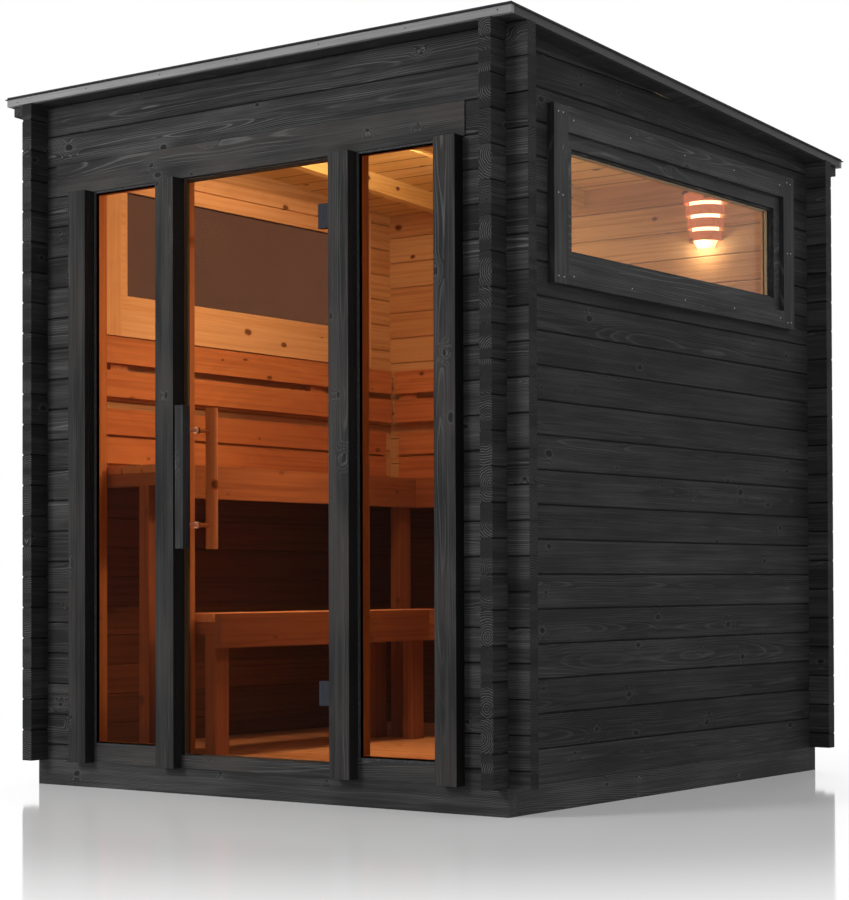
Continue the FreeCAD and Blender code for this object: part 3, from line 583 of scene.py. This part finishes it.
milky = Finish("milky_glass", roughness=0.3)
x, y, z = milky.place()
from_foot = (z - lamp_low[2]) / (lamp_high[2] - lamp_low[2])
cloudy = milky.noise(milky.vector(x, y, z), 60.0)
milky.set("Base Color", milky.blend(cloudy, (0.85, 0.8, 0.72), (0.92, 0.9, 0.86)))
milky.set("Emission Color", milky.blend(abs(from_foot - 0.5) * 1.6, (1.0, 0.86, 0.66), (1.0, 0.66, 0.36)))
milky.set("Emission Strength", 1.9)
shell = bmesh.new()
rings = []
turns = [math.pi * step / BODY_SIDES for step in range(BODY_SIDES + 1)]
for radius, height in ((BODY_FOOT * BODY_END, lamp_low[2] - BODY_BELOW),
                       (BODY_FOOT, lamp_low[2] + BODY_EDGE),
                       (BODY_HEAD, lamp_high[2] - BODY_EDGE * 3),
                       (BODY_HEAD * BODY_END, lamp_high[2] - BODY_EDGE)):
    rings.append([shell.verts.new((lamp_middle + radius * math.cos(turn),
                                   lamp_high[1] - 0.002 - radius * math.sin(turn), height))
                  for turn in turns])
for lower, upper in zip(rings, rings[1:]):
    for step in range(BODY_SIDES):
        shell.faces.new((lower[step + 1], lower[step], upper[step], upper[step + 1]))
    shell.faces.new((lower[0], lower[-1], upper[-1], upper[0]))
shell.faces.new(rings[0])
shell.faces.new(list(reversed(rings[-1])))
bmesh.ops.recalc_face_normals(shell, faces=shell.faces[:])
for face in shell.faces:
    face.smooth = len(face.verts) == 4 and face.normal.y < 0.5
finished("lamp_body", shell, milky.material)

# Door fittings: grey steel hinges, a black square bar outside, a bare round bar inside and
# copper standoffs through the glass.


def metal_finish(name, tone, worn, rough, metallic=1.0):
    """Brushed metal with fine lines along z."""
    finish = Finish(name, metallic=metallic)
    x, y, z = finish.place()
    brushed = finish.noise(finish.vector(x * 900.0, y * 900.0, z * 20.0), 1.0, 2.0)
    smear = finish.noise(finish.vector(x, y, z), 35.0, 2.0)
    finish.set("Base Color", finish.blend(brushed.rise(0.3, 0.7) * 0.5 + smear * 0.2, tone, worn))
    finish.set("Roughness", rough + smear * 0.15)
    finish.relief(brushed, 0.00015)
    return finish.material


hinge_metal = metal_finish("hinge_grey", (0.03, 0.032, 0.04), (0.07, 0.072, 0.084), 0.4)
dress("hinge_clamps", hinge_metal)
dress("hinge_leaves", hinge_metal)
copper = metal_finish("copper", (0.75, 0.35, 0.19), (0.88, 0.52, 0.33), 0.3, 0.7)
dress("handle_standoffs", copper)
dress("outer_handle", board_finish("outer_bar_black", "z", 0.2, -0.4, 71.0, depth_centre=-1.1))
dress("inner_handle", board_finish("inner_bar_bare", "z", 0.2, -0.4, 73.0, stained=False,
                                   colours=((0.42, 0.15, 0.075), (0.7, 0.31, 0.17), (0.76, 0.38, 0.23))))

# Seals and beads: dark rubber stops behind the door's edges, beads that hold the side
# lights, and beads with a pale spacer between the sheets of each side window.

EASED_EDGE = 0.0008


def blocks(name, spans, material, fall=0.0):
    """Strips between pairs of places, edges eased, dropping by fall along y if they slope."""
    shape = bmesh.new()
    for span in spans:
        for point in bmesh.ops.create_cube(shape, size=1.0)["verts"]:
            point.co = Vector([low + (high - low) * (share + 0.5)
                               for (low, high), share in zip(span, point.co)])
            point.co.z -= fall * (point.co.y - span[1][0])
    bmesh.ops.bevel(shape, geom=shape.edges[:], offset=EASED_EDGE, segments=2, affect="EDGES")
    return finished(name, shape, material)


def rubber_finish(name, tone):
    """Dull rubber with a little dust on it."""
    finish = Finish(name, specular_ior_level=0.3)
    x, y, z = finish.place()
    dust = finish.noise(finish.vector(x, y, z), 140.0, 3.0)
    finish.set("Base Color", finish.blend(dust.rise(0.4, 0.8) * 0.4, tone, (0.14, 0.14, 0.14)))
    finish.set("Roughness", 0.6 + dust * 0.2)
    finish.relief(dust, 0.0002)
    return finish.material


rubber = rubber_finish("seal_rubber", (0.03, 0.03, 0.032))
grey_rubber = rubber_finish("seal_grey", (0.11, 0.11, 0.115))
HEADER_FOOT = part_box("header_board")[0][2]
SILL_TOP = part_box("door_sill")[1][2]
door_left, door_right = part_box("left_mullion")[1][0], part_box("right_mullion")[0][0]
STOP_WIDE, STOP_GAP, STOP_DEEP = 0.014, 0.0015, 0.012
JOIN = 0.0004
HINGE_SIDE_GAP = 0.016
HINGE_REACH = 0.05
stop_run = (GLASS_BACK + STOP_GAP, GLASS_BACK + STOP_GAP + STOP_DEEP)
late_run = (GLASS_BACK + HINGE_SIDE_GAP, GLASS_BACK + HINGE_SIDE_GAP + STOP_DEEP)
blocks("door_stops", [
    ((door_left, door_left + STOP_WIDE), stop_run, (SILL_TOP, HEADER_FOOT)),
    ((door_left + STOP_WIDE + JOIN, door_right - HINGE_REACH), stop_run,
     (HEADER_FOOT - STOP_WIDE, HEADER_FOOT)),
    ((door_right - STOP_WIDE, door_right), late_run, (SILL_TOP, HEADER_FOOT))], grey_rubber)

BEAD, WIDE_BEAD, GASKET_DEEP = 0.008, 0.014, 0.005
gaskets = []
inner_beads = []
for node in ("left_side_light_glass", "right_side_light_glass"):
    low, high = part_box(node)
    front_run = (low[1] - GASKET_DEEP, low[1])
    back_run = (high[1], high[1] + WIDE_BEAD)
    for thick_run, wide, into in ((front_run, BEAD, gaskets), (back_run, WIDE_BEAD, inner_beads)):
        between = (low[0] + wide + JOIN, high[0] - wide - JOIN)
        into.append(((low[0], low[0] + wide), thick_run, (low[2], high[2])))
        into.append(((high[0] - wide, high[0]), thick_run, (low[2], high[2])))
        into.append((between, thick_run, (low[2], low[2] + wide)))
        into.append((between, thick_run, (high[2] - wide, high[2])))
blocks("side_light_gaskets", gaskets, rubber)
bare_bead = board_finish("bead_bare", "z", 0.3, 0.02, 81.0, stained=False, colours=JAMB_COLOURS)
blocks("side_light_beads", inner_beads, bare_bead)


def ring_spans(xs, low, high, wide):
    """Four strips round an opening in a side wall."""
    between = (low[2] + wide + JOIN, high[2] - wide - JOIN)
    return [(xs, (low[1], high[1]), (low[2], low[2] + wide)),
            (xs, (low[1], high[1]), (high[2] - wide, high[2])),
            (xs, (low[1], low[1] + wide), between),
            (xs, (high[1] - wide, high[1]), between)]


spacer_metal = Finish("spacer_bar", metallic=0.2)
x, y, z = spacer_metal.place()
rub = spacer_metal.noise(spacer_metal.vector(x * 80.0, y * 80.0, z * 80.0), 1.0)
spacer_metal.set("Base Color", spacer_metal.blend(rub, (0.62, 0.55, 0.42), (0.78, 0.72, 0.6)))
spacer_metal.set("Roughness", 0.45 + rub * 0.15)
OUTER_DEEP, INNER_DEEP, INNER_BEAD, SPACER_WIDE = 0.01, 0.009, 0.01, 0.009
SPACER_FROM, SPACER_TO = 0.0045, 0.0155
outer_bead = board_finish("bead_black", "y", 0.6, 1.2, 83.0)
inner_bead = board_finish("bead_pale", "y", 0.6, 1.2, 85.0, stained=False, colours=LINING_COLOURS)
for side, sign in (("right", 1), ("left", -1)):
    low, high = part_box(side + "_window_glass")
    glass_out, glass_in = (high[0], low[0]) if sign > 0 else (low[0], high[0])
    outer = sorted((glass_out, glass_out + sign * OUTER_DEEP))
    inner = sorted((glass_in, glass_in - sign * INNER_DEEP))
    between = sorted((glass_out - sign * SPACER_FROM, glass_out - sign * SPACER_TO))
    blocks(side + "_outer_beads", ring_spans(outer, low, high, BEAD), outer_bead)
    blocks(side + "_inner_beads", ring_spans(inner, low, high, INNER_BEAD), inner_bead)
    blocks(side + "_spacer", ring_spans(between, low, high, SPACER_WIDE), spacer_metal.material)

# Eave battens: strips of black-stained wood fixed under the deck's edge along the left side
# and the back. Their ends show below the roof's left and rear corners.

ROOF_FALL = 0.0573
deck_low, deck_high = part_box("roof_deck")
BATTEN_WIDE, BATTEN_TALL, HELD_BACK = 0.05, 0.034, 0.004
foot_of_deck = deck_low[2] + ROOF_FALL * (deck_high[1] - deck_low[1])
side_run = (deck_low[1] + HELD_BACK, deck_high[1] - HELD_BACK)
batten_z = (foot_of_deck - BATTEN_TALL, foot_of_deck - 0.0005)
back_z = tuple(height - ROOF_FALL * (deck_high[1] - BATTEN_WIDE - deck_low[1]) for height in batten_z)
eaves = [((deck_low[0], deck_low[0] + BATTEN_WIDE), side_run, batten_z),
         ((deck_low[0] + BATTEN_WIDE + JOIN, deck_high[0]),
          (deck_high[1] - BATTEN_WIDE, deck_high[1] - HELD_BACK), back_z)]
blocks("eave_battens", eaves, board_finish("batten_black", "y", 0.3, 2.2, 87.0), fall=ROOF_FALL)

# Handle collars: thin copper discs round the standoffs on both faces of the door's glass.
# They cover its holes and swing with the door.

COLLAR_RIM, COLLAR_THICK, COLLAR_OUT = 0.0045, 0.003, 0.0016
collars = bmesh.new()
bar_low, bar_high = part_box("handle_standoffs")
pane_low, pane_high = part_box("door_glass")
across = (bar_low[0] + bar_high[0]) / 2
half = (bar_high[0] - bar_low[0]) / 2
for up in (bar_low[2] + half, bar_high[2] - half):
    for face_y in (pane_low[1] - COLLAR_OUT, pane_high[1] + COLLAR_OUT):
        disc = bmesh.ops.create_cone(collars, cap_ends=True, segments=28, radius1=half + COLLAR_RIM,
                                     radius2=half + COLLAR_RIM, depth=COLLAR_THICK)["verts"]
        for point in disc:
            point.co = Vector((across + point.co.x, face_y + point.co.z, up + point.co.y))
bmesh.ops.recalc_face_normals(collars, faces=collars.faces[:])
finished("handle_collars", collars, copper, "door")

# Nails and screws: small domed steel heads in nearly straight rows, bright ones in the
# window casings and the upper bench and black ones in the front fascia.


def head_rows(name, rows, turn, stray, radius, material):
    """Rows of domed heads, each a start, a step and a count. turn faces them and stray is how
    far each may sit off its row."""
    tree = bpy.data.node_groups.new(name, "GeometryNodeTree")
    kinds = {"Start": "NodeSocketVector", "Step": "NodeSocketVector", "Count": "NodeSocketInt",
             "Turn": "NodeSocketVector", "Stray": "NodeSocketVector", "Radius": "NodeSocketFloat",
             "Seed": "NodeSocketInt", "Heads": "NodeSocketMaterial"}
    keys = {label: tree.interface.new_socket(label, in_out="INPUT", socket_type=kind).identifier
            for label, kind in kinds.items()}
    tree.interface.new_socket("Geometry", in_out="OUTPUT", socket_type="NodeSocketGeometry")

    def add(kind, links, **settings):
        made = tree.nodes.new(kind)
        for key, value in settings.items():
            setattr(made, key, value)
        for key, value in links.items():
            if isinstance(value, bpy.types.NodeSocket):
                tree.links.new(value, made.inputs[key])
            else:
                made.inputs[key].default_value = value
        return made

    given = add("NodeGroupInput", {}).outputs
    line = add("GeometryNodeMeshLine", {"Count": given["Count"], "Start Location": given["Start"],
                                        "Offset": given["Step"]})
    back = add("ShaderNodeVectorMath", {0: given["Stray"], 3: -1.0}, operation="SCALE")
    chance = add("FunctionNodeRandomValue", {0: back.outputs[0], 1: given["Stray"], "Seed": given["Seed"]},
                 data_type="FLOAT_VECTOR")
    moved = add("GeometryNodeSetPosition", {"Geometry": line.outputs[0], "Offset": chance.outputs[0]})
    crown = add("ShaderNodeMath", {0: given["Radius"], 1: 0.6}, operation="MULTIPLY")
    depth = add("ShaderNodeMath", {0: given["Radius"], 1: 0.4}, operation="MULTIPLY")
    head = add("GeometryNodeMeshCone", {"Vertices": 14, "Radius Top": crown.outputs[0],
                                        "Radius Bottom": given["Radius"], "Depth": depth.outputs[0]})
    set_out = add("GeometryNodeInstanceOnPoints", {"Points": moved.outputs[0], "Instance": head.outputs[0],
                                                   "Rotation": given["Turn"]})
    real = add("GeometryNodeRealizeInstances", {"Geometry": set_out.outputs[0]})
    dressed = add("GeometryNodeSetMaterial", {"Geometry": real.outputs[0], "Material": given["Heads"]})
    add("NodeGroupOutput", {"Geometry": dressed.outputs[0]})

    together = bmesh.new()
    for number, (start, step, count) in enumerate(rows):
        holder = bpy.data.objects.new(name + "_row", bpy.data.meshes.new(name + "_row"))
        bpy.context.collection.objects.link(holder)
        rule = holder.modifiers.new("rows", "NODES")
        rule.node_group = tree
        values = {"Start": start, "Step": step, "Count": count, "Turn": turn, "Stray": stray,
                  "Radius": radius, "Seed": number + 3, "Heads": material}
        for label, value in values.items():
            rule[keys[label]] = value
        bpy.context.view_layer.update()
        solid = bpy.data.meshes.new_from_object(holder.evaluated_get(bpy.context.evaluated_depsgraph_get()))
        together.from_mesh(solid)
        holder.modifiers.remove(rule)
        bpy.data.objects.remove(holder)
        bpy.data.meshes.remove(solid)
    finished(name, together, material)


def spread(start, stop, count):
    """A row of count heads from start to stop."""
    step = tuple((b - a) / (count - 1) for a, b in zip(start, stop))
    return (start, step, count)


bright_steel = metal_finish("bright_steel", (0.42, 0.42, 0.42), (0.62, 0.62, 0.62), 0.4)
black_steel = metal_finish("black_steel", (0.05, 0.05, 0.052), (0.1, 0.1, 0.1), 0.45)
QUARTER = math.pi / 2
NAIL, FASCIA_NAIL, SCREW = 0.0024, 0.0025, 0.004
FROM_EDGE, FROM_JOINT, FROM_END = 0.025, 0.03, 0.05
CASING_STRAY, FASCIA_STRAY, BENCH_STRAY = (0.0, 0.003, 0.004), (0.002, 0.0, 0.002), (0.002, 0.002, 0.0)
for side, sign in (("right", 1), ("left", -1)):
    node = side + "_window"
    low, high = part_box(node + "_casing_stiles")
    face = high[0] if sign > 0 else low[0]
    open_low, open_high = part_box(node + "_casing_boards")
    frame_low, frame_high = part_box(node + "_frame")
    rows = [spread((face, y_at, low[2] + FROM_EDGE), (face, y_at, high[2] - FROM_EDGE), 3)
            for y_at in (low[1] + FROM_EDGE, open_low[1] - FROM_JOINT, open_high[1] + FROM_JOINT,
                         high[1] - FROM_EDGE)]
    for z_at in ((open_low[2] + frame_low[2]) / 2, (frame_high[2] + open_high[2]) / 2):
        rows.append(spread((face, open_low[1] + FROM_JOINT, z_at),
                           (face, open_high[1] - FROM_JOINT, z_at), 5))
    head_rows(side + "_casing_nails", rows, (0.0, sign * QUARTER, 0.0), CASING_STRAY, NAIL, bright_steel)
low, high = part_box("fascia_ends")
mid_front = high[2] - 0.012
rows = [spread((low[0] + FROM_END, low[1], mid_front), (high[0] - FROM_END, low[1], mid_front), 7)]
head_rows("fascia_nails", rows, (QUARTER, 0.0, 0.0), FASCIA_STRAY, FASCIA_NAIL, black_steel)
low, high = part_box("upper_bench_slats")
front_low, front_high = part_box("upper_bench_front")
SLATS, SLAT_END, LEFT_MIDDLE, BACK_MIDDLE = 5, 0.035, 0.35, 0.7
SLAT_JOINT, SLAT_CORNER = 0.555, 0.06
SLAT = (front_low[0] - low[0]) / SLATS
rows = [spread((low[0] + SLAT / 2, y_at, high[2]), (front_low[0] - SLAT / 2, y_at, high[2]), SLATS)
        for y_at in (low[1] + SLAT_END, front_low[1] + LEFT_MIDDLE, high[1] - SLAT_JOINT)]
rows += [spread((x_at, high[1] - SLAT / 2, high[2]), (x_at, high[1] - SLAT * (SLATS - 0.5), high[2]), SLATS)
         for x_at in (front_high[0] - SLAT_END, front_low[0] + BACK_MIDDLE, front_low[0] + SLAT_CORNER)]
head_rows("bench_screws", rows, (0.0, 0.0, 0.0), BENCH_STRAY, SCREW, bright_steel)

# The studio: white surroundings, a pale floor that shines a little, soft lights from the
# front, the right and the back, and warm ones in the room and in the wall lamp.

world = bpy.data.worlds.new("studio")
bpy.context.scene.world = world
world.use_nodes = True
sky = world.node_tree
sky.nodes.clear()


def white(strength):
    """White surroundings of one brightness."""
    made = sky.nodes.new("ShaderNodeBackground")
    made.inputs["Color"].default_value = (1.0, 1.0, 1.0, 1.0)
    made.inputs["Strength"].default_value = strength
    return made.outputs[0]


def either(one, two):
    """The larger of two answers."""
    made = sky.nodes.new("ShaderNodeMath")
    made.operation = "MAXIMUM"
    sky.links.new(one, made.inputs[0])
    sky.links.new(two, made.inputs[1])
    return made.outputs[0]


SEEN, LIT = 1.0, 0.37
rays = sky.nodes.new("ShaderNodeLightPath").outputs
looked_at = either(either(rays["Is Camera Ray"], rays["Is Transmission Ray"]), rays["Is Glossy Ray"])
choice = sky.nodes.new("ShaderNodeMixShader")
end = sky.nodes.new("ShaderNodeOutputWorld")
for source, goal in ((looked_at, choice.inputs[0]), (white(LIT), choice.inputs[1]),
                     (white(SEEN), choice.inputs[2]), (choice.outputs[0], end.inputs["Surface"])):
    sky.links.new(source, goal)

ground = bpy.data.meshes.new("studio_floor")
REACH = 40.0
ground.from_pydata([(-REACH, -REACH, 0), (REACH, -REACH, 0), (REACH, REACH, 0), (-REACH, REACH, 0)],
                   [], [(0, 1, 2, 3)])
studio_floor = bpy.data.objects.new("studio_floor", ground)
bpy.context.collection.objects.link(studio_floor)
pale = Finish("pale_floor", roughness=0.07)
x, y, z = pale.place()
far = (x * x + y * y) ** 0.5
pale.set("Base Color", (0.9, 0.9, 0.9))
glow = pale.node("ShaderNodeEmission", {}, {"Color": (1.0, 1.0, 1.0), "Strength": 1.0})
seen_by = pale.node("ShaderNodeLightPath", {}, {}, "Is Camera Ray")
pale.set("Emission Color", pale.darken((1.0, 1.0, 1.0), seen_by * 0.16))
pale.set("Emission Strength", 1.0)
mix = pale.node("ShaderNodeMixShader", {}, {0: far.rise(2.2, 4.2) * seen_by, 2: glow})
pale.tree.links.new(pale.shader.outputs[0], mix.socket.node.inputs[1])
pale.tree.links.new(mix.socket, pale.tree.nodes["Material Output"].inputs["Surface"])
ground.materials.append(pale.material)


def soft_light(name, place, target, size, watts, colour=(1.0, 1.0, 1.0), fan=math.pi):
    """A square soft light at place, turned towards target and not seen itself. fan is the
    angle that its light spreads over."""
    data = bpy.data.lights.new(name, "AREA")
    data.shape = "SQUARE"
    data.size = size
    data.energy = watts
    data.color = colour
    data.spread = fan
    lamp = bpy.data.objects.new(name, data)
    lamp.location = place
    lamp.rotation_euler = (Vector(target) - Vector(place)).to_track_quat("-Z", "Y").to_euler()
    lamp.visible_camera = lamp.visible_glossy = lamp.visible_transmission = False
    bpy.context.collection.objects.link(lamp)


WARM = (1.0, 0.8, 0.58)
soft_light("key", (-2.4, -6.9, 3.7), (0.2, -1.0, 1.2), 2.0, 320.0)
soft_light("side_fill", (5.0, -1.2, 2.6), (1.1, -0.9, 1.3), 2.0, 42.0)
soft_light("back_fill", (-1.2, 6.5, 4.2), (0.0, 1.0, 1.2), 2.5, 170.0)
soft_light("ceiling_glow", (0.0, -0.3, 2.2), (-0.97, 0.0, 1.5), 0.4, 11.0, WARM)
soft_light("door_glow", (0.1, -0.3, 2.2), (0.1, -0.35, 0.0), 0.3, 5.5, WARM, 1.1)
soft_light("corner_glow", (0.6, 0.3, 1.9), (-0.75, -1.0, 0.9), 0.3, 3.2, WARM, 1.1)
soft_light("roof_glow", (0.1, 0.2, 1.7), (0.1, -0.4, 2.4), 0.3, 3.0, WARM)
for name, height, watts in (("glow_down", lamp_low[2] - 0.015, 0.95), ("glow_up", lamp_high[2] + 0.02, 0.8)):
    bulb = bpy.data.lights.new(name, "POINT")
    bulb.energy = watts
    bulb.color = WARM
    bulb.shadow_soft_size = 0.025
    bulb_place = bpy.data.objects.new(name, bulb)
    bulb_place.location = (lamp_middle, lamp_high[1] - 0.05, height)
    bulb_place.visible_camera = bulb_place.visible_glossy = bulb_place.visible_transmission = False
    bpy.context.collection.objects.link(bulb_place)

# The photograph's view: from the front right, a little above knee height, with the upright
# lines kept very nearly upright.

VIEW_PLACE = (4.717, -6.509, 0.710)
VIEW_TURN = 36.32
VIEW_RISE = 0.94
VIEW_ROLL = 0.185
FOCAL_PIXELS = 2183.4
PICTURE_HEIGHT = 900.0
MIDDLE_PIXEL = 547.16
FILM_HEIGHT = 36.0
lens = bpy.data.cameras.new("camera")
lens.sensor_fit = "VERTICAL"
lens.sensor_height = FILM_HEIGHT
lens.lens = FILM_HEIGHT * FOCAL_PIXELS / PICTURE_HEIGHT
lens.shift_y = (MIDDLE_PIXEL - PICTURE_HEIGHT / 2) / PICTURE_HEIGHT
lens.clip_end = 200.0
camera = bpy.data.objects.new("camera", lens)
camera.location = VIEW_PLACE
camera.rotation_euler = (math.radians(90.0 + VIEW_RISE), math.radians(VIEW_ROLL), math.radians(VIEW_TURN))
bpy.context.collection.objects.link(camera)
bpy.context.scene.camera = camera
bpy.context.scene.view_settings.view_transform = "Standard"
